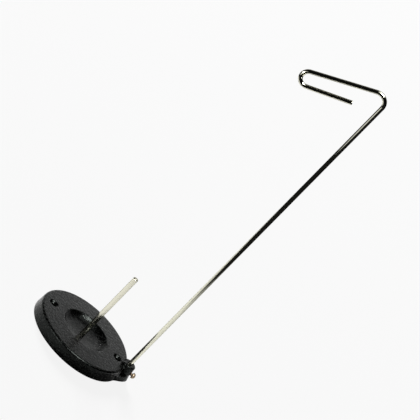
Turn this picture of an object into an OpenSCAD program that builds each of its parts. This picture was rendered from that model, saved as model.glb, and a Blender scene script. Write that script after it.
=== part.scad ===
// Thread cone holder: a cast-iron base with a fixed spindle for the cone, and a bent wire guide
// that swivels in a boss on the rim, where a set screw holds it.
// Millimetres, +Z up. The origin is on the spindle axis at the table, and +X runs to the boss.

/* [Base] */
// Diameter of the base where it stands on the table
base_d = 96; // [86:1:130]
// Height of the rim's shoulder above the table
base_h = 11.9; // [10:0.1:16]
// Draft of the cast outer walls, in degrees
wall_draft = 4; // [1:0.5:6]
// Rounding of the rim between the outer wall and the top
rim_round = 2; // [1:0.1:3]
// Slope of the crowned top where it meets the rim, in degrees
crown_slope = 2.5; // [1:0.1:6]

/* [Dish] */
// Diameter at which the top begins to round down into the dish
dish_d = 49; // [40:0.1:56]
// Depth of the hollow dish at its centre, below the lip
dish_depth = 5.8; // [5:0.1:7.5]
// Rounding of the dish's lip
lip_round = 1.8; // [0.5:0.1:2.5]
// Slope of the dish's wall just inside the lip, in degrees
dish_slope = 50; // [35:1:65]
// Radius of the hollow sweep from the dish's wall to its shallow floor
sweep_round = 11; // [8:0.1:15]

/* [Screw holes] */
// Distance between the two countersunk screw holes
hole_spacing = 73.5; // [68:0.5:76]
// Diameter of a screw hole
hole_d = 4.8; // [3.5:0.1:5.5]
// Diameter of a countersink at the top
sink_d = 9.2; // [6.5:0.1:10]
// Included angle of a countersink, in degrees
sink_angle = 82; // [60:1:110]

/* [Rod boss] */
// How far the boss axis lies outside the base's lower edge
boss_offset = 0.3; // [-2:0.1:3]
// Height of the boss above the table
boss_h = 16; // [14:0.1:22]
// Diameter of the boss just under its rounded top edge
boss_d = 12.6; // [10:0.1:13.5]
// Rounding of the boss's top edge
boss_round = 1.2; // [0.4:0.1:2]
// Diameter of the boss's spreading toe where it is widest
toe_d = 16.4; // [15.5:0.1:19]
// Height at which the toe runs out into the boss
toe_h = 6.5; // [3:0.1:8]
// Bevel under the toe and under its hollow corners
toe_bevel = 1.5; // [0.5:0.1:2]
// Radius of the hollow corners between the boss's toe and the base's wall
corner_round = 9; // [4:0.5:12]

/* [Spindle] */
// Diameter of the spindle
spindle_d = 4.76; // [4:0.01:8]
// Height of the spindle's tip above the table
spindle_top = 82; // [60:1:160]
// Diameter of the turned-down foot that is driven into the base
spigot_d = 3.8; // [3:0.1:3.9]
// Chamfer of the spindle's tip
tip_chamfer = 0.6; // [0.2:0.1:1]

/* [Thread guide] */
// Diameter of the guide's wire
wire_d = 3.97; // [3:0.01:5]
// Height of the guide's highest point above the table
guide_top = 367.5; // [300:0.5:460]
// Radius of the bend at the top of the mast, to the wire's centre
top_bend = 9; // [6:0.1:14]
// Slope of the arm below the horizontal, in degrees
arm_drop = 26.6; // [10:0.1:40]
// How far past the spindle axis the round end of the loop is centred
loop_past = 14.1; // [8:0.1:25]
// Radius of the loop's round end, to the wire's centre
loop_bend = 7.15; // [6:0.05:12]
// Turn of the loop's round end, in degrees
loop_turn = 177; // [170:0.1:180]
// Length of the straight tail that runs back from the loop
tail_len = 41.6; // [20:0.1:44]
// Chamfer of the wire's two cut ends
wire_chamfer = 0.3; // [0.1:0.1:0.6]

/* [Set screw] */
// Diameter of the screw's shank
screw_d = 3; // [2.5:0.1:4]
// Length of the screw under its head
screw_len = 6.2; // [5.5:0.1:9]
// Height of the screw's axis above the table
screw_z = 8.7; // [8:0.1:11]
// Diameter of the screw's head
head_d = 5.8; // [5:0.1:6.5]
// Thickness of the domed head
head_h = 3.1; // [1.8:0.1:3.8]
// Rounding of the edge under the head
head_edge = 0.5; // [0.2:0.1:0.8]
// Width of the driver slot
slot_w = 0.9; // [0.6:0.1:1.2]
// Depth of the driver slot
slot_depth = 1.1; // [0.6:0.1:1.3]

/* [Fits] */
// Radial clearance between the wire and its bore, so that the guide swivels
wire_clearance = 0.05; // [0.02:0.01:0.1]
// Radial clearance between the screw and its hole
screw_clearance = 0.05; // [0.02:0.01:0.1]
// Gap between the screw's tip and the wire when the guide is free to turn
tip_gap = 0.15; // [0.1:0.05:0.4]
// Iron left under the wire's blind bore
bore_floor = 2.2; // [1.5:0.1:4]
// Gap between the wire's foot and the floor of its bore
foot_gap = 0.05; // [0.02:0.01:0.3]
// Gap between the spindle's foot and the table
spigot_gap = 0.5; // [0.2:0.1:1]

/* [Hidden] */
$fn = 96;
cut_over = 1;
arc_steps = 10;
// Hair-thin steps and laps, so that faces which follow each other cross instead of grazing
corner_proud = 0.04;
bend_proud = 0.01;
bend_lap = 0.2;

base_r = base_d / 2;
dish_r = dish_d / 2;
wall_slope = tan(wall_draft);

// The crowned top is part of a large sphere: its radius and the height of its centre
rim_z = base_h - rim_round;
rim_x = wall_at(base_r, rim_z) - rim_round / cos(wall_draft);
crown_r = rim_x / sin(crown_slope) + rim_round;
crown_z = rim_z - (crown_r - rim_round) * cos(crown_slope);

// The dish, from the lip inwards: a rounded lip, a hollow sweep, and a floor that is part of a larger sphere.
// A small flat seat for the spindle lies in its middle.
lip_z = crown_z + sqrt((crown_r - lip_round) ^ 2 - dish_r ^ 2);
sweep_share = 0.95;
sweep_r = min(sweep_round, sweep_share * dish_depth / (1 - cos(dish_slope)) - lip_round);
sweep_x = dish_r - (lip_round + sweep_r) * sin(dish_slope);
sweep_z = lip_z + (lip_round + sweep_r) * cos(dish_slope);
floor_sag = dish_depth - (lip_round + sweep_r) * (1 - cos(dish_slope));
floor_slope = 2 * atan(floor_sag / sweep_x);
floor_r = sweep_r + sweep_x / sin(floor_slope);
floor_z = lip_z + lip_round - dish_depth + floor_r;
seat_margin = 0.4;
seat_slope = asin((spindle_d / 2 + seat_margin) / floor_r);
dish_floor = floor_z - floor_r * cos(seat_slope);

boss_x = base_r + boss_offset;
boss_top_r = boss_d / 2;
boss_foot_r = boss_top_r + wall_slope * (boss_h - boss_round);
toe_r = toe_d / 2;

wire_r = wire_d / 2;
bore_r = wire_r + wire_clearance;
mast_foot = bore_floor + foot_gap;
mast_len = guide_top - wire_r - top_bend - mast_foot;
arm_run = boss_x + loop_past - top_bend * (1 + sin(arm_drop)) + loop_bend * sin(arm_drop);
arm_len = arm_run / cos(arm_drop);

screw_tip_x = boss_x + wire_r + tip_gap;
screw_r = screw_d / 2;
head_r = head_d / 2;

// Points along an arc in a drawing plane, from one angle to another
function arc(center, r, from, to) =
    [for (i = [0 : arc_steps]) let (a = from + (to - from) * i / arc_steps) center + r * [cos(a), sin(a)]];

// The same points without any that repeats the one before it
function distinct(points) =
    [for (i = [0 : len(points) - 1]) if (i == 0 || norm(points[i] - points[i - 1]) > 0.001) points[i]];

// Radius of a drafted wall at a height, from its radius at the table
function wall_at(foot_r, z) = foot_r - wall_slope * z;

// Height of the crowned top at a distance from the axis
function top_at(r) = crown_z + sqrt(crown_r ^ 2 - r ^ 2);

// Half outline of the disc: drafted wall, rounded rim, crowned top, then the dish's lip, sweep and floor
function disc_outline() =
    let (lip_slope = asin(dish_r / (crown_r - lip_round)))
    distinct(concat(
        [[0, 0], [base_r, 0]],
        arc([rim_x, rim_z], rim_round, wall_draft, 90 - crown_slope),
        arc([0, crown_z], crown_r, 90 - crown_slope, 90 - lip_slope),
        arc([dish_r, lip_z], lip_round, 90 - lip_slope, 90 + dish_slope),
        arc([sweep_x, sweep_z], sweep_r, dish_slope - 90, floor_slope - 90),
        arc([0, floor_z], floor_r, floor_slope - 90, seat_slope - 90),
        [[0, dish_floor]]
    ));

// Half outline of the boss: bevelled and spreading toe, drafted wall and rounded top edge
function boss_outline() =
    let (edge = [boss_top_r - boss_round, boss_h - boss_round])
    concat(
        [[0, 0], [toe_r - toe_bevel, 0], [toe_r, toe_bevel], [wall_at(boss_foot_r, toe_h), toe_h]],
        arc(edge, boss_round, 0, 90),
        [[0, boss_h]]
    );

// The hollow corners beside the boss: a wedge between wall and toe, less a widening round on each side
module boss_corners() {
    reach_base = base_r + corner_round;
    reach_toe = toe_r + corner_round;
    corner_x = (reach_base ^ 2 - reach_toe ^ 2 + boss_x ^ 2) / (2 * boss_x);
    corner_y = sqrt(reach_base ^ 2 - corner_x ^ 2);
    inner = (base_r - corner_round) / reach_base;
    cut_r = corner_round - corner_proud;
    difference() {
        linear_extrude(rim_z)
            polygon([
                inner * [corner_x, -corner_y],
                [corner_x, -corner_y],
                [boss_x, 0],
                [corner_x, corner_y],
                inner * [corner_x, corner_y]
            ]);
        for (side = [-1, 1])
            translate([corner_x, side * corner_y, -cut_over]) {
                cylinder(
                    h = rim_z + 2 * cut_over,
                    r1 = cut_r - wall_slope * cut_over,
                    r2 = cut_r + wall_slope * (rim_z + cut_over)
                );
                cylinder(h = toe_bevel + cut_over, r1 = cut_r + toe_bevel + cut_over, r2 = cut_r);
            }
    }
}

// A countersunk screw hole, cut down through the base where its top is at a height
module screw_hole(top_z) {
    sink_depth = (sink_d - hole_d) / 2 / tan(sink_angle / 2);
    sink_over_r = sink_d / 2 + cut_over * tan(sink_angle / 2);
    translate([0, 0, -cut_over])
        cylinder(h = top_z + 2 * cut_over, d = hole_d);
    translate([0, 0, top_z - sink_depth])
        cylinder(h = sink_depth + cut_over, r1 = hole_d / 2, r2 = sink_over_r);
}

module base_casting() {
    color("#2b2c2e")
        difference() {
            union() {
                rotate_extrude()
                    polygon(disc_outline());
                translate([boss_x, 0, 0])
                    rotate_extrude()
                        polygon(boss_outline());
                boss_corners();
            }
            for (side = [-1, 1])
                translate([side * hole_spacing / 2, 0, 0])
                    screw_hole(top_at(hole_spacing / 2));
            translate([0, 0, -cut_over])
                cylinder(h = dish_floor + 2 * cut_over, d = spigot_d);
            translate([boss_x, 0, bore_floor])
                cylinder(h = boss_h - bore_floor + cut_over, r = bore_r);
            translate([boss_x, 0, screw_z])
                rotate([0, 90, 0])
                    cylinder(h = toe_d, r = screw_r + screw_clearance);
        }
}

// A round bar along +Z with a chamfer at its upper end
module chamfered_bar(len, d, chamfer) {
    cylinder(h = len - chamfer, d = d);
    translate([0, 0, len - chamfer])
        cylinder(h = chamfer, d1 = d, d2 = d - 2 * chamfer);
}

module spindle() {
    color("#cfcac0") {
        translate([0, 0, spigot_gap])
            cylinder(h = dish_floor - spigot_gap, d = spigot_d);
        translate([0, 0, dish_floor])
            chamfered_bar(spindle_top - dish_floor, spindle_d, tip_chamfer);
    }
}

// A bend of wire to the left of +Y; what follows it starts where the bend ends
module wire_bend(r, turn) {
    translate([-r, 0, 0]) {
        rotate_extrude(angle = turn)
            translate([r, 0])
                circle(r = wire_r + bend_proud);
        rotate(turn)
            translate([r, 0, 0])
                children();
    }
}

// The guide is drawn along its wire, from the mast's foot to the tail's cut end
module guide_rod() {
    color("#d6d6d4")
        translate([boss_x, 0, mast_foot])
            rotate([90, 0, 0])
                translate([0, mast_len, 0]) {
                    translate([0, bend_lap, 0])
                        rotate([90, 0, 0])
                            chamfered_bar(mast_len + bend_lap, wire_d, wire_chamfer);
                    wire_bend(top_bend, 90 + arm_drop) {
                        translate([0, -bend_lap, 0])
                            rotate([-90, 0, 0])
                                cylinder(h = arm_len + 2 * bend_lap, d = wire_d);
                        translate([0, arm_len, 0])
                            wire_bend(loop_bend, loop_turn)
                                translate([0, -bend_lap, 0])
                                    rotate([-90, 0, 0])
                                        chamfered_bar(tail_len + bend_lap, wire_d, wire_chamfer);
                    }
                }
}

// Half outline of the screw along its axis: shank, then a domed head with a rounded lower edge
function screw_outline() =
    let (
        dome_h = head_h - head_edge,
        dome_r = (head_r ^ 2 + dome_h ^ 2) / (2 * dome_h),
        dome_rim = 2 * atan(dome_h / head_r)
    )
    distinct(concat(
        [[0, 0], [screw_r, 0], [screw_r, screw_len]],
        arc([head_r - head_edge, screw_len + head_edge], head_edge, -90, 0),
        arc([0, screw_len + head_h - dome_r], dome_r, 90 - dome_rim, 90)
    ));

module set_screw() {
    color("#b9975b")
        translate([screw_tip_x, 0, screw_z])
            rotate([0, 90, 0])
                difference() {
                    rotate_extrude()
                        polygon(screw_outline());
                    translate([-head_d, -slot_w / 2, screw_len + head_h - slot_depth])
                        cube([2 * head_d, slot_w, slot_depth + cut_over]);
                }
}

base_casting();
spindle();
guide_rod();
set_screw();
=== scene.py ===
import math

import bpy
import numpy as np
from mathutils import Matrix, Vector


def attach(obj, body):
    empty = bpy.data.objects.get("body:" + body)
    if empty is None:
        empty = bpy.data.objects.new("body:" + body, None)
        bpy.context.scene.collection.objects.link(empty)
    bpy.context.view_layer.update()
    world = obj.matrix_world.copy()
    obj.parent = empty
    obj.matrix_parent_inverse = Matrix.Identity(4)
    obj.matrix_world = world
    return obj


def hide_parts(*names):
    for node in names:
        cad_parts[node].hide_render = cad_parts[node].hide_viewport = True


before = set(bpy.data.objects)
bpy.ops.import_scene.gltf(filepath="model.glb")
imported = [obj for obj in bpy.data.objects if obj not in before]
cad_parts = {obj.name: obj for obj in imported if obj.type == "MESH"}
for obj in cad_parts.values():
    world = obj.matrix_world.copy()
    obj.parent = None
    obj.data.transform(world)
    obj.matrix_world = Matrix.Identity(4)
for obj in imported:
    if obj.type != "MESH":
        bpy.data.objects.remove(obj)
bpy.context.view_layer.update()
print("frame loaded:", sorted(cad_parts))

mm = 0.001
noiseSpan = (0.3, 0.7)          # where nearly all values of a noise pattern lie


def linear(hexColour):
    # sRGB hex to the linear colour that a shader socket takes
    parts = [int(hexColour[i:i + 2], 16) / 255 for i in (1, 3, 5)]
    return tuple(c / 12.92 if c <= 0.04045 else ((c + 0.055) / 1.055) ** 2.4 for c in parts) + (1.0,)


def addNode(tree, kind, settings=None, inputs=None):
    # one node with its settings and its inputs, each a plain value or the socket that feeds it
    node = tree.nodes.new(kind)
    for name, value in (settings or {}).items():
        setattr(node, name, value)
    for socket, value in (inputs or {}).items():
        if isinstance(value, bpy.types.NodeSocket):
            tree.links.new(value, node.inputs[socket])
        else:
            node.inputs[socket].default_value = value
    return node


def noise(tree, place, sizeMm, detail, roughness):
    # soft noise with lumps of about the given size
    return addNode(tree, "ShaderNodeTexNoise", inputs={
        "Vector": place, "Scale": 1 / (sizeMm * mm),
        "Detail": detail, "Roughness": roughness}).outputs["Fac"]


def remap(tree, value, start, end=(0, 1), kind="LINEAR"):
    # one range of values carried onto another, and held at its ends
    return addNode(tree, "ShaderNodeMapRange", {"interpolation_type": kind}, {
        "Value": value, "From Min": start[0], "From Max": start[1],
        "To Min": end[0], "To Max": end[1]}).outputs[0]


def calculate(tree, operation, *terms):
    # arithmetic on plain values and sockets
    return addNode(tree, "ShaderNodeMath", {"operation": operation}, dict(enumerate(terms))).outputs[0]


def along(tree, place, direction):
    # how far a point or a direction lies along another direction
    return addNode(tree, "ShaderNodeVectorMath", {"operation": "DOT_PRODUCT"}, {
        0: place, 1: direction}).outputs["Value"]


def mixColour(tree, share, first, second):
    # from the first colour to the second; 6, 7 and 2 are the colour sockets of a mix node
    return addNode(tree, "ShaderNodeMix", {"data_type": "RGBA"}, {
        0: share, 6: linear(first), 7: linear(second)}).outputs[2]


def mixValue(tree, share, first, second):
    # from the first value to the second; 2, 3 and 0 are the value sockets of a mix node
    return addNode(tree, "ShaderNodeMix", inputs={0: share, 2: first, 3: second}).outputs[0]


def newMaterial(name):
    # an empty node material, its node tree and its Object coordinates
    material = bpy.data.materials.new(name)
    material.use_nodes = True
    tree = material.node_tree
    tree.nodes.clear()
    place = addNode(tree, "ShaderNodeTexCoord").outputs["Object"]
    return material, tree, place


enamelLook = {
    "colour": "#040404",        # black stoving enamel
    "thin": "#2a2b2a",          # where the coat is a little thinner
    "thinOver": (0.50, 0.64),   # the values of the grain over which it gets thin
    "ior": 1.24,
    "tint": "#f4fff8",          # the shine is a touch green
    "roughness": (0.18, 0.27),
    "mottleMm": 3.0,            # lumps of the cast skin under the coat
    "mottleHeightMm": 0.34,
    "grainMm": 1.7,             # sand grain, drawn coarser than real so that it shows
    "grainHeightMm": 0.20,
}

# Black enamel on sand-cast iron: a satin black skin, finely mottled by the grain of the mould
enamel, tree, place = newMaterial("black_enamel_on_cast_iron")
mottle = noise(tree, place, enamelLook["mottleMm"], detail=2.0, roughness=0.55)
grain = noise(tree, place, enamelLook["grainMm"], detail=2.0, roughness=0.55)
coat = remap(tree, grain, enamelLook["thinOver"])
tone = mixColour(tree, coat, enamelLook["colour"], enamelLook["thin"])
satin = remap(tree, grain, (0, 1), enamelLook["roughness"])
lumps = addNode(tree, "ShaderNodeBump", inputs={
    "Strength": 1.0, "Distance": enamelLook["mottleHeightMm"] * mm, "Height": mottle})
sand = addNode(tree, "ShaderNodeBump", inputs={
    "Strength": 1.0, "Distance": enamelLook["grainHeightMm"] * mm, "Height": grain,
    "Normal": lumps.outputs[0]})
shader = addNode(tree, "ShaderNodeBsdfPrincipled", inputs={
    "IOR": enamelLook["ior"], "Specular Tint": linear(enamelLook["tint"]),
    "Base Color": tone, "Roughness": satin, "Normal": sand.outputs[0]})
addNode(tree, "ShaderNodeOutputMaterial", inputs={"Surface": shader.outputs[0]})

wireLook = {
    "colour": "#e5e4d2",        # nickel plate over drawn steel, a touch warm
    "dull": "#d9d7c4",
    "edge": "#6c6c62",          # darker where the round turns away
    "roughness": (0.03, 0.08),
    "hazeMm": 7.0,              # patches where the shine is a little hazy
}
rodLook = {
    "colour": "#e3e1d0",        # the same plate on a turned rod
    "dull": "#d7d4c2",
    "edge": "#6c6c62",
    "roughness": (0.08, 0.13),
    "hazeMm": 5.0,
}


def platedSteel(name, look):
    # bright plate on steel, with faint patches of haze
    material, tree, place = newMaterial(name)
    haze = noise(tree, place, look["hazeMm"], detail=4.0, roughness=0.6)
    tone = mixColour(tree, haze, look["colour"], look["dull"])
    shine = remap(tree, haze, noiseSpan, look["roughness"])
    shader = addNode(tree, "ShaderNodeBsdfPrincipled", inputs={
        "Metallic": 1.0, "Specular Tint": linear(look["edge"]), "Base Color": tone, "Roughness": shine})
    addNode(tree, "ShaderNodeOutputMaterial", inputs={"Surface": shader.outputs[0]})
    return material


# Nickel-plated steel: a bright mirror on the drawn wire, a softer shine on the spindle
brightPlating = platedSteel("bright_plated_wire", wireLook)
satinPlating = platedSteel("satin_plated_rod", rodLook)

brassLook = {
    "colour": "#b8a78f",        # turned brass gone slightly brown
    "tarnish": "#7f6e5c",
    "roughness": (0.40, 0.56),
    "tarnishMm": 1.4,
}

# Turned brass: warm metal with brown tarnish in soft patches
brass, tree, place = newMaterial("turned_brass")
patch = noise(tree, place, brassLook["tarnishMm"], detail=3.0, roughness=0.6)
tone = mixColour(tree, patch, brassLook["colour"], brassLook["tarnish"])
dull = remap(tree, patch, noiseSpan, brassLook["roughness"])
shader = addNode(tree, "ShaderNodeBsdfPrincipled", inputs={
    "Metallic": 1.0, "Base Color": tone, "Roughness": dull})
addNode(tree, "ShaderNodeOutputMaterial", inputs={"Surface": shader.outputs[0]})
print("materials: enamel, plating, brass")


def roundMax(a, b, r, meet=0):
    # the edge where two faces meet, rounded off; meet is the cosine between the ways they face
    a, b = a + r, b + r
    arc = np.sqrt(np.maximum(a * a + b * b - 2 * meet * a * b, 0) / (1 - meet ** 2))
    return np.where((a > meet * b) & (b > meet * a), arc, np.maximum(a, b)) - r


def roundMin(a, b, r):
    # the corner where two solids meet, filled with a fillet
    return np.maximum(r, np.minimum(a, b)) - np.hypot(np.maximum(r - a, 0), np.maximum(r - b, 0))


def skinField(name, field, box, step, material):
    # a closed mesh on the zero level of a field in mm:
    # one point in each crossed cell of a grid, then pulled onto the surface
    low, high = box
    axes = [np.arange(a, b + step, step) for a, b in zip(low, high)]
    grid = np.stack(np.meshgrid(*axes, indexing="ij"), -1)
    value = field(grid.reshape(-1, 3)).reshape(grid.shape[:3])
    inside = value < 0
    corners = [np.array([i, j, k]) for i in (0, 1) for j in (0, 1) for k in (0, 1)]
    cells = np.array(inside.shape) - 1
    full = np.zeros(cells, np.int8)
    for c in corners:
        full += inside[tuple(slice(c[a], c[a] + cells[a]) for a in range(3))]
    crossed = np.argwhere((full > 0) & (full < len(corners)))
    cellId = np.full(cells, -1)
    cellId[tuple(crossed.T)] = np.arange(len(crossed))

    # first guess: the mean of the places where the cell's edges are crossed
    total = np.zeros((len(crossed), 3))
    count = np.zeros((len(crossed), 1))
    for c in corners:
        for a in range(3):
            if c[a]:
                continue
            d = c.copy()
            d[a] = 1
            va = value[tuple((crossed + c).T)]
            vb = value[tuple((crossed + d).T)]
            hit = (va < 0) != (vb < 0)
            share = np.where(hit, va / np.where(hit, va - vb, 1), 0)
            total += hit[:, None] * (crossed + c + share[:, None] * (d - c))
            count += hit[:, None]
    point = np.array(low) + step * total / count

    # pulled along the slope of the field, with a floor for its square so that no point leaps
    pulls, nudge, leastSquare = 4, 0.02, 0.2
    for _ in range(pulls):
        rises = [field(point + n) - field(point - n) for n in nudge * np.eye(3)]
        slope = np.stack(rises, -1) / (2 * nudge)
        move = field(point)[:, None] * slope / np.maximum((slope ** 2).sum(1, keepdims=True), leastSquare)
        point -= np.clip(move, -step / 2, step / 2)

    # a face round each crossed edge of the grid
    faces = []
    for a in range(3):
        b, c = (a + 1) % 3, (a + 2) % 3
        ahead, toB, toC = (np.eye(3, dtype=int)[k] for k in (a, b, c))
        first = inside[tuple(slice(0, cells[k] if k == a else None) for k in range(3))]
        second = inside[tuple(slice(ahead[k], None) for k in range(3))]
        edge = np.argwhere(first != second)
        quad = np.stack([cellId[tuple((edge - o).T)] for o in (toB + toC, toC, 0 * toB, toB)], -1)
        outward = first[tuple(edge.T)]
        faces.append(np.where(outward[:, None], quad, quad[:, ::-1]))
    mesh = bpy.data.meshes.new(name)
    mesh.from_pydata((point * mm).tolist(), [], np.concatenate(faces).tolist())
    mesh.shade_smooth()
    mesh.materials.append(material)
    piece = bpy.data.objects.new(name, mesh)
    bpy.context.scene.collection.objects.link(piece)
    print(name, "skin:", len(mesh.polygons), "faces")
    return piece


baseSize = {                    # mm, and degrees for the draft, the slopes and the countersink
    "diameter": 96, "shoulder": 11.9, "draft": 4, "rimRound": 2, "crownSlope": 2.5,
    "dish": 49, "dishDepth": 5.8, "lipRound": 1.8, "dishSlope": 50, "sweepRound": 11, "seat": 5.56,
    "holeSpacing": 73.5, "hole": 4.8, "sink": 9.2, "sinkAngle": 82, "holeEdge": 0.2,
    "bossX": 48.3, "bossHeight": 16, "boss": 12.6, "bossRound": 1.2,
    "toe": 16.4, "toeHeight": 6.5, "toeBevel": 1.5, "toeRound": 1,
    "cornerRound": 9, "cornerTop": 5, "neckRound": 0.8, "neckFoot": 11,
    "wireBore": 4.07, "wireBoreEdge": 0.3, "boreFloor": 2.2,
    "screwHole": 3.1, "screwHoleEdge": 0.25, "screwZ": 8.7,
    "spindleHole": 3.82, "spindleHoleEdge": 0.1, "footRound": 0.4, "step": 0.475,
}
baseBox = ((-49.4, -49.4, -1.2), (58, 49.4, 17.2))     # mm, a little wider than the casting


def baseShape():
    # what follows from the sizes: the crowned top, then the hollow dish
    # from its lip to the spindle's seat
    s = baseSize
    draft, crown, slope = (math.radians(s[k]) for k in ("draft", "crownSlope", "dishSlope"))
    rimZ = s["shoulder"] - s["rimRound"]
    rimX = s["diameter"] / 2 - math.tan(draft) * rimZ - s["rimRound"] / math.cos(draft)
    crownR = rimX / math.sin(crown) + s["rimRound"]
    crownZ = rimZ - (crownR - s["rimRound"]) * math.cos(crown)
    lipZ = crownZ + math.sqrt((crownR - s["lipRound"]) ** 2 - (s["dish"] / 2) ** 2)
    reach = s["lipRound"] + s["sweepRound"]
    sweepX, sweepZ = s["dish"] / 2 - reach * math.sin(slope), lipZ + reach * math.cos(slope)
    floorSlope = 2 * math.atan((s["dishDepth"] - reach * (1 - math.cos(slope))) / sweepX)
    floorR = s["sweepRound"] + sweepX / math.sin(floorSlope)
    floorZ = lipZ + s["lipRound"] - s["dishDepth"] + floorR
    return {"crownR": crownR, "crownZ": crownZ, "sweepX": sweepX, "sweepZ": sweepZ,
            "floorEdge": floorR * math.sin(floorSlope), "floorR": floorR, "floorZ": floorZ,
            "seatZ": floorZ - math.sqrt(floorR ** 2 - (s["seat"] / 2) ** 2)}


def baseField(p):
    # signed distance in mm, below zero inside the iron
    s, t = baseSize, baseShape()
    x, y, z = p.T
    r = np.hypot(x, y)
    draft, slope = math.radians(s["draft"]), math.radians(s["dishSlope"])

    # disc: drafted wall under a crowned top
    wall = (r - s["diameter"] / 2 + math.tan(draft) * z) * math.cos(draft)
    crown = np.hypot(r, z - t["crownZ"]) - t["crownR"]
    body = roundMax(wall, crown, s["rimRound"], math.sin(draft + math.radians(s["crownSlope"])))

    # hollow dish: a shallow floor, a sweep, and the slope that runs out under the lip
    floor = np.hypot(r, z - t["floorZ"]) - t["floorR"]
    sweep = np.hypot(r - t["sweepX"], z - t["sweepZ"]) - s["sweepRound"]
    steep = (r - t["sweepX"]) * math.sin(slope) - (z - t["sweepZ"]) * math.cos(slope) - s["sweepRound"]
    wallX = t["sweepX"] + s["sweepRound"] * math.sin(slope)
    dish = np.where(r < t["floorEdge"], floor, np.where(r < wallX, sweep, steep))
    body = roundMax(body, -np.maximum(dish, t["seatZ"] - z), s["lipRound"], math.cos(slope))

    # boss with a spreading toe, run into the wall by wide corners and into the top by a small neck
    toeCurve, mostSpread = 1.5, 1.5
    bevelMeet = 0.7             # the cosine between the ways that the side and the bevel face
    rBoss = np.hypot(x - s["bossX"], y)
    footR = s["boss"] / 2 + math.tan(draft) * (s["bossHeight"] - s["bossRound"])
    spread = np.clip((s["toeHeight"] - z) / (s["toeHeight"] - s["toeBevel"]), 0, mostSpread) ** toeCurve
    flare = (s["toe"] / 2 - footR + math.tan(draft) * s["toeBevel"]) * spread
    side = (rBoss - footR + math.tan(draft) * z - flare) * math.cos(draft)
    bevel = (rBoss - s["toe"] / 2 + s["toeBevel"] - z) * math.sqrt(0.5)
    boss = roundMax(side, bevel, s["toeRound"], bevelMeet)
    boss = roundMax(boss, z - s["bossHeight"], s["bossRound"])
    rise = np.clip((z - s["cornerTop"]) / (s["neckFoot"] - s["cornerTop"]), 0, 1)
    fillet = s["cornerRound"] + (s["neckRound"] - s["cornerRound"]) * rise ** 2 * (3 - 2 * rise)
    body = roundMin(body, boss, fillet)
    body = roundMax(body, -z, s["footRound"])

    # countersunk holes, the wire's bore, the screw's hole and the spindle's hole
    sinkZ = t["crownZ"] + math.sqrt(t["crownR"] ** 2 - (s["holeSpacing"] / 2) ** 2)
    flank = math.radians(s["sinkAngle"] / 2)
    for centre in (-s["holeSpacing"] / 2, s["holeSpacing"] / 2):
        rHole = np.hypot(x - centre, y)
        sink = (rHole - s["sink"] / 2) * math.cos(flank) - (z - sinkZ) * math.sin(flank)
        body = roundMax(body, -np.minimum(rHole - s["hole"] / 2, sink), s["holeEdge"])
    wireBore = np.maximum(rBoss - s["wireBore"] / 2, s["boreFloor"] - z)
    body = roundMax(body, -wireBore, s["wireBoreEdge"])
    screwBore = np.hypot(y, z - s["screwZ"]) - s["screwHole"] / 2
    body = roundMax(body, -np.maximum(screwBore, s["bossX"] - x), s["screwHoleEdge"])
    return roundMax(body, s["spindleHole"] / 2 - r, s["spindleHoleEdge"])


baseCasting = skinField("baseCasting", baseField, baseBox, baseSize["step"], enamel)

screwSize = {                   # mm
    "tipX": 50.435, "length": 6.2, "z": baseSize["screwZ"], "tipBevel": 0.6,
    "thread": 3, "threadDepth": 0.26, "pitch": 0.6,
    "head": 5.8, "headHeight": 3.1, "headEdge": 0.5, "domeEdge": 0.15,
    "slot": 0.9, "slotDepth": 1.1, "slotEdge": 0.1, "step": 0.115,
}
screwBox = ((49.9, -3.3, 5.4), (60.3, 3.3, 12))        # mm, a little wider than the screw


def screwField(p):
    # signed distance in mm, along +X from the screw's tip
    s = screwSize
    flatter, intoHead = 0.75, 0.5       # evens out the thread's slope; the shank's run into the head
    out, y, z = p[:, 0] - s["tipX"], p[:, 1], p[:, 2] - s["z"]
    r = np.hypot(y, z)
    turn = (out / s["pitch"] - np.arctan2(z, y) / (2 * math.pi)) % 1
    ridge = s["thread"] / 2 - s["threadDepth"] * np.abs(2 * turn - 1)
    tip = (r + s["tipBevel"] - s["thread"] / 2 - out) * math.sqrt(0.5)
    ends = np.maximum(-out, out - s["length"] - intoHead)
    shank = np.maximum(np.maximum((r - ridge) * flatter, tip), ends)
    domeH = s["headHeight"] - s["headEdge"]
    domeR = ((s["head"] / 2) ** 2 + domeH ** 2) / (2 * domeH)
    dome = np.hypot(out - s["length"] - s["headHeight"] + domeR, r) - domeR
    head = roundMax(dome, r - s["head"] / 2, s["domeEdge"])
    head = roundMax(head, s["length"] - out, s["headEdge"])
    slot = np.maximum(np.abs(y) - s["slot"] / 2, s["length"] + s["headHeight"] - s["slotDepth"] - out)
    return roundMax(np.minimum(shank, head), -slot, s["slotEdge"])


setScrew = skinField("setScrew", screwField, screwBox, screwSize["step"], brass)

# Node tree for a wire swept along a path with rounded bends
sweep = bpy.data.node_groups.new("sweptWire", "GeometryNodeTree")
for name, kind in (("Path", "NodeSocketGeometry"), ("Wire diameter", "NodeSocketFloat"),
                   ("Round sides", "NodeSocketInt"), ("Bend steps", "NodeSocketInt"),
                   ("Plating", "NodeSocketMaterial")):
    sweep.interface.new_socket(name, in_out="INPUT", socket_type=kind)
sweep.interface.new_socket("Wire", in_out="OUTPUT", socket_type="NodeSocketGeometry")
given = addNode(sweep, "NodeGroupInput").outputs
bendAt, girthAt = (addNode(sweep, "GeometryNodeInputNamedAttribute", {"data_type": "FLOAT"}, {
    "Name": label}).outputs[0] for label in ("bendRadius", "girth"))
route = addNode(sweep, "GeometryNodeMeshToCurve", inputs={"Mesh": given["Path"]})
bent = addNode(sweep, "GeometryNodeFilletCurve", {"mode": "POLY"}, {
    "Curve": route.outputs[0], "Count": given["Bend steps"], "Radius": bendAt})
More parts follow.
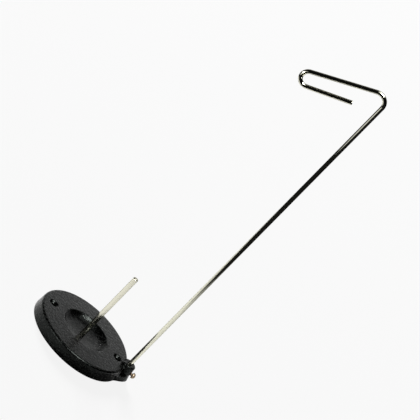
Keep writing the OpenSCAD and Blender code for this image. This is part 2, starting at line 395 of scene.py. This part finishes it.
ring = addNode(sweep, "GeometryNodeCurvePrimitiveCircle", inputs={
    "Resolution": given["Round sides"], "Radius": calculate(sweep, "MULTIPLY", given["Wire diameter"], 0.5)})
tube = addNode(sweep, "GeometryNodeCurveToMesh", inputs={
    "Fill Caps": True, "Curve": bent.outputs[0], "Profile Curve": ring.outputs[0], "Scale": girthAt})
# only the four-cornered faces are smooth, so the cut ends stay flat; 2 and 3 are the whole-number sockets
corners = addNode(sweep, "GeometryNodeInputMeshFaceNeighbors").outputs["Vertex Count"]
isSide = addNode(sweep, "FunctionNodeCompare", {"data_type": "INT", "operation": "EQUAL"}, {
    2: corners, 3: 4})
smooth = addNode(sweep, "GeometryNodeSetShadeSmooth", inputs={
    "Geometry": tube.outputs[0], "Shade Smooth": isSide.outputs[0]})
real = addNode(sweep, "GeometryNodeRealizeInstances", inputs={"Geometry": smooth.outputs[0]})
plated = addNode(sweep, "GeometryNodeSetMaterial", inputs={
    "Geometry": real.outputs[0], "Material": given["Plating"]})
addNode(sweep, "NodeGroupOutput", inputs={"Wire": plated.outputs[0]})

wireMesh = {"Round sides": 48, "Bend steps": 24}


def sweepWire(name, path, diameter, material):
    # path: rows of x, z, bend radius and girth, all but the girth in mm,
    # in the plane of the spindle and the mast
    places = [(x * mm, 0, z * mm) for x, z, _, _ in path]
    points = bpy.data.meshes.new(name + "Path")
    points.from_pydata(places, [(i, i + 1) for i in range(len(path) - 1)], [])
    for label, column, unit in (("bendRadius", 2, mm), ("girth", 3, 1)):
        data = points.attributes.new(label, "FLOAT", "POINT").data
        for entry, row in zip(data, path):
            entry.value = row[column] * unit
    maker = bpy.data.objects.new(name + "Path", points)
    bpy.context.scene.collection.objects.link(maker)
    nodes = maker.modifiers.new("sweptWire", "NODES")
    nodes.node_group = sweep
    wanted = {"Wire diameter": diameter * mm, "Plating": material, **wireMesh}
    for item in sweep.interface.items_tree:
        if item.name in wanted:
            nodes[item.identifier] = wanted[item.name]
    evaluated = maker.evaluated_get(bpy.context.evaluated_depsgraph_get())
    mesh = bpy.data.meshes.new_from_object(evaluated)
    maker.modifiers.remove(nodes)
    bpy.data.objects.remove(maker)
    mesh.name = name
    piece = bpy.data.objects.new(name, mesh)
    bpy.context.scene.collection.objects.link(piece)
    print(name, "swept:", len(mesh.polygons), "faces")
    return piece


guideSize = {                   # mm, and degrees for the drop and the turn
    "wire": 3.97, "mastX": baseSize["bossX"], "foot": 2.25, "top": 367.5, "topBend": 9, "armDrop": 26.6,
    "loopPast": 14.1, "loopBend": 7.15, "loopTurn": 177, "tail": 41.6, "cutEdge": 0.3,
}


def guidePath():
    # foot, top corner, the two corners of the loop's round end, cut end
    s = guideSize
    slack = 0.999               # keeps the loop's two quarter bends from running into each other
    drop, turn = math.radians(s["armDrop"]), math.radians(s["loopTurn"])
    ahead = Vector((-math.cos(drop), -math.sin(drop)))
    topZ = s["top"] - s["wire"] / 2 - s["topBend"]
    bendX = s["mastX"] - s["topBend"] * (1 + math.sin(drop))
    bendEnd = Vector((bendX, topZ + s["topBend"] * math.cos(drop)))
    corner = bendEnd - ahead * s["topBend"] * (1 + math.sin(drop)) / math.cos(drop)
    run = bendEnd.x + s["loopPast"] + s["loopBend"] * math.sin(drop)
    armEnd = bendEnd + ahead * run / math.cos(drop)
    reach = s["loopBend"] * math.tan(turn / 4)
    loopHigh = armEnd + ahead * reach
    across = Matrix.Rotation(turn / 2, 2) @ ahead
    loopLow = loopHigh + across * 2 * reach
    back = Matrix.Rotation(turn, 2) @ ahead
    end = loopLow + back * (reach + s["tail"])
    edge = s["cutEdge"]
    thin = 1 - 2 * edge / s["wire"]
    edges = ((0, thin), (edge, 1), (2 * edge, 1))
    foot = [(s["mastX"], s["foot"] + h, 0, g) for h, g in edges]
    cut = [((end - back * h).x, (end - back * h).y, 0, g) for h, g in reversed(edges)]
    bends = [(corner.x, corner.y, s["topBend"], 1)]
    bends += [(c.x, c.y, s["loopBend"] * slack, 1) for c in (loopHigh, loopLow)]
    return foot + bends + cut


guideWire = sweepWire("guideWire", guidePath(), guideSize["wire"], brightPlating)

spindleSize = {"rod": 4.76, "spigot": 3.8, "foot": 0.5, "top": 82, "tipEdge": 0.6}     # mm


def spindlePath():
    # spigot, shoulder on the dish's floor, plain rod, rounded tip
    s = spindleSize
    shoulder, straight = 0.02, 0.2      # the shoulder's height, and a run beside an edge that keeps it crisp
    neck, edge = s["spigot"] / s["rod"], s["tipEdge"]
    seat = baseShape()["seatZ"]
    foot = [(0, s["foot"], 0, neck), (0, seat, 0, neck), (0, seat + shoulder, 0, 1)]
    rod = [(0, seat + straight, 0, 1), (0, s["top"] - edge - straight, 0, 1)]
    tip = []
    for degrees in range(0, 91, 15):
        a = math.radians(degrees)
        girth = 1 - 2 * edge / s["rod"] * (1 - math.cos(a))
        tip.append((0, s["top"] - edge * (1 - math.sin(a)), 0, girth))
    return foot + rod + tip


spindle = sweepWire("spindleRod", spindlePath(), spindleSize["rod"], satinPlating)

for piece, body, node, slot in ((baseCasting, "stand", "base_casting", "enamelled_iron"),
                                (spindle, "stand", "spindle", "plated_steel"),
                                (guideWire, "guide", "guide_rod", "plated_steel"),
                                (setScrew, "screw", "set_screw", "brass")):
    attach(piece, body)
    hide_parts(node)
print("pieces ride on their bodies")

stageLook = {
    "halfWidth": 6,             # of the floor, m
    "below": 0.0003,            # how far the floor lies under the base, m
    "paper": "#f7f7f7",
    "white": 0.93,              # what the camera sees of the sheet
    "evenness": 0.94,           # how far the camera's white is free of shadow
    "bench": 0.010,             # what shines back from beyond the sheet
    # where the sheet fades out, m from the spindle: front, back, left, right and its two front corners
    "ends": (((0, -1), 0.15, 0.27), ((0, 1), 0.30, 0.40),
             ((-1, 0), 0.25, 0.35), ((1, 0), 0.08, 0.42),
             ((-0.7, -0.7), 0.14, 0.29), ((0.7, -0.7), 0.20, 0.32)),
}

half, floorZ = stageLook["halfWidth"], -stageLook["below"]
floorMesh = bpy.data.meshes.new("floorSheet")
floorMesh.from_pydata([(x * half, y * half, floorZ) for x, y in ((-1, -1), (1, -1), (1, 1), (-1, 1))],
                      [], [(0, 1, 2, 3)])
floor = bpy.data.objects.new("floorSheet", floorMesh)
bpy.context.scene.collection.objects.link(floor)

# White paper on a dark bench: bright metal sees where the paper ends, the camera sees it run on
paper, tree, place = newMaterial("white_paper_sheet")
fades = [remap(tree, along(tree, place, (x, y, 0)), (near, far), kind="SMOOTHSTEP")
         for (x, y), near, far in stageLook["ends"]]
beyond = fades[0]
for fade in fades[1:]:
    beyond = calculate(tree, "MAXIMUM", beyond, fade)
ray = addNode(tree, "ShaderNodeLightPath").outputs
dark = calculate(tree, "MULTIPLY", beyond, ray["Is Glossy Ray"])
even = calculate(tree, "MULTIPLY", stageLook["evenness"], ray["Is Camera Ray"])
cover = addNode(tree, "ShaderNodeBsdfDiffuse", inputs={"Color": linear(stageLook["paper"])})
bench, white = (addNode(tree, "ShaderNodeEmission", inputs={
    "Color": (1, 1, 1, 1), "Strength": stageLook[part]}) for part in ("bench", "white"))
sheet = addNode(tree, "ShaderNodeMixShader", inputs={0: dark, 1: cover.outputs[0], 2: bench.outputs[0]})
shown = addNode(tree, "ShaderNodeMixShader", inputs={0: even, 1: sheet.outputs[0], 2: white.outputs[0]})
addNode(tree, "ShaderNodeOutputMaterial", inputs={"Surface": shown.outputs[0]})
floorMesh.materials.append(paper)

lightLook = {
    "ambient": 0.10,            # even light on the table and the object
    "background": 0.93,         # what the camera sees past the table
    "backWall": 0.60,           # the pale wall behind, as glossy surfaces see it
    "backFoot": 1.40,           # the foot of that wall, which is lit more
    "backTop": 1.35,            # how much paler it gets towards its top
    "backSide": 0.5,            # how much dimmer it is towards its two sides
    "ceiling": 0.04,
    "room": 0.003,              # the dim room in front
}
roomShape = {                   # where one tone turns into the next, as parts of a direction of length 1
    "behind": (0.5, 0.8),       # towards the back
    "wallEnd": (0.80, 0.55),    # upwards, as are the next three
    "ceiling": (0.80, 0.95),
    "foot": (0.05, 0.33),
    "top": (0.33, 0.55),
    "sides": (0.15, 0.36),      # to either side of the middle
    "across": (0.99, -0.14, 0),
}

# The room: even for the camera and for soft light, with a pale wall and a dim front in shiny surfaces
world = bpy.data.worlds.new("studioRoom")
bpy.context.scene.world = world
world.use_nodes = True
tree = world.node_tree
tree.nodes.clear()
way = addNode(tree, "ShaderNodeTexCoord").outputs["Generated"]
toward = addNode(tree, "ShaderNodeSeparateXYZ", inputs={0: way}).outputs
behind = remap(tree, toward["Y"], roomShape["behind"], kind="SMOOTHSTEP")
under = remap(tree, toward["Z"], roomShape["wallEnd"], kind="SMOOTHSTEP")
above = remap(tree, toward["Z"], roomShape["ceiling"], kind="SMOOTHSTEP")
roof = remap(tree, above, (0, 1), (lightLook["room"], lightLook["ceiling"]))
footTones = (lightLook["backFoot"], lightLook["backWall"])
lower = remap(tree, toward["Z"], roomShape["foot"], footTones, "SMOOTHSTEP")
paler = remap(tree, toward["Z"], roomShape["top"], (1, lightLook["backTop"]))
fromMiddle = calculate(tree, "ABSOLUTE", along(tree, way, roomShape["across"]))
dimmer = remap(tree, fromMiddle, roomShape["sides"], (1, lightLook["backSide"]), "SMOOTHSTEP")
wallTone = calculate(tree, "MULTIPLY", calculate(tree, "MULTIPLY", lower, paler), dimmer)
studio = mixValue(tree, calculate(tree, "MULTIPLY", behind, under), roof, wallTone)
ray = addNode(tree, "ShaderNodeLightPath").outputs
plain = mixValue(tree, ray["Is Camera Ray"], lightLook["ambient"], lightLook["background"])
strength = mixValue(tree, ray["Is Glossy Ray"], plain, studio)
sky = addNode(tree, "ShaderNodeBackground", inputs={"Color": (1, 1, 1, 1), "Strength": strength})
addNode(tree, "ShaderNodeOutputWorld", inputs={"Surface": sky.outputs[0]})

front = -8                      # degrees, the camera's side, which the panels are placed from
panels = {
    # azimuth from the front to the right; then away, up and aimed at in m; width and height; power in W;
    # whether it lights the table and the object, and whether it shows in shiny surfaces
    "keyPanel": (-148, 4.60, 1.95, 0.0, 1.5, 1.5, 660, True, False),
    "rightPanel": (40, 1.30, 2.36, 0.1, 1.10, 0.95, 82, False, True),
    "softTop": (87, 0.255, 1.30, -2.0, 1.30, 0.90, 4.8, False, True),
    "leftPanel": (-42, 0.535, 0.232, 0.232, 0.60, 0.396, 0.52, False, True),
    "lowStrip": (-35, 1.30, 0.11, 0.11, 0.80, 0.20, 6.0, False, True),
}
for name, (azimuth, away, up, aim, width, height, power, lights, shines) in panels.items():
    light = bpy.data.lights.new(name, "AREA")
    light.shape = "RECTANGLE"
    light.size, light.size_y, light.energy = width, height, power
    lamp = bpy.data.objects.new(name, light)
    az = math.radians(azimuth + front)
    lamp.location = (math.sin(az) * away, -math.cos(az) * away, up)
    lamp.rotation_euler = (lamp.location - Vector((0, 0, aim))).to_track_quat("Z", "Y").to_euler()
    lamp.visible_camera = False
    lamp.visible_diffuse, lamp.visible_glossy = lights, shines
    bpy.context.scene.collection.objects.link(lamp)

# The camera, fitted to the photo: m, degrees, and mm for the lens and the sensor
view = {"aim": (0.00392, 0, 0.17816), "distance": 5.9224, "azimuth": -8.04, "elevation": 25.22,
        "roll": 44.41, "lens": 590.86, "sensor": 36, "farthest": 50}
az, el = math.radians(view["azimuth"]), math.radians(view["elevation"])
outward = Vector((math.sin(az) * math.cos(el), -math.cos(az) * math.cos(el), math.sin(el)))
lens = bpy.data.cameras.new("photoCamera")
lens.lens, lens.sensor_width, lens.clip_end = view["lens"], view["sensor"], view["farthest"]
camera = bpy.data.objects.new("photoCamera", lens)
upright = outward.to_track_quat("Z", "Y").to_matrix()
rolled = upright @ Matrix.Rotation(math.radians(view["roll"]), 3, "Z")
camera.matrix_world = Matrix.Translation(Vector(view["aim"]) + outward * view["distance"]) @ rolled.to_4x4()
bpy.context.scene.collection.objects.link(camera)
bpy.context.scene.camera = camera
bpy.context.scene.view_settings.view_transform = "Standard"
print("stage, lights and camera set")
